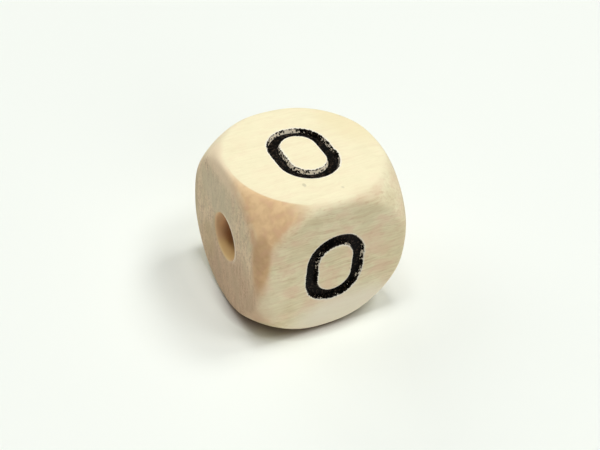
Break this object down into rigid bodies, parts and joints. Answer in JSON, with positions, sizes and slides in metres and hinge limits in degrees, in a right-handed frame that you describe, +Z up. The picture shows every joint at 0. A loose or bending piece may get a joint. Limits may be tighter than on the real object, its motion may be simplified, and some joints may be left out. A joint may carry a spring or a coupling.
{
  "type": "wooden cube bead",
  "caption": "Small wooden cube bead with ball-cut corners and tumbled edges, a round cord hole from end to end, and a plain oval ring pressed into each side face.",
  "frame": {"origin": "middle of the bead, on the axis of the cord hole", "axes": "+X along the cord hole, +Z up, so the bead rests on its -Z face and the -Y face is the front"},
  "size_m": [0.01, 0.01, 0.01],
  "materials": {
    "wood": "tumbled bare maple, fine grain along the hole, black foil in the pressed rings"
  },
  "bodies": {
    "root": {"bead": "wood"}
  },
  "joints": []
}
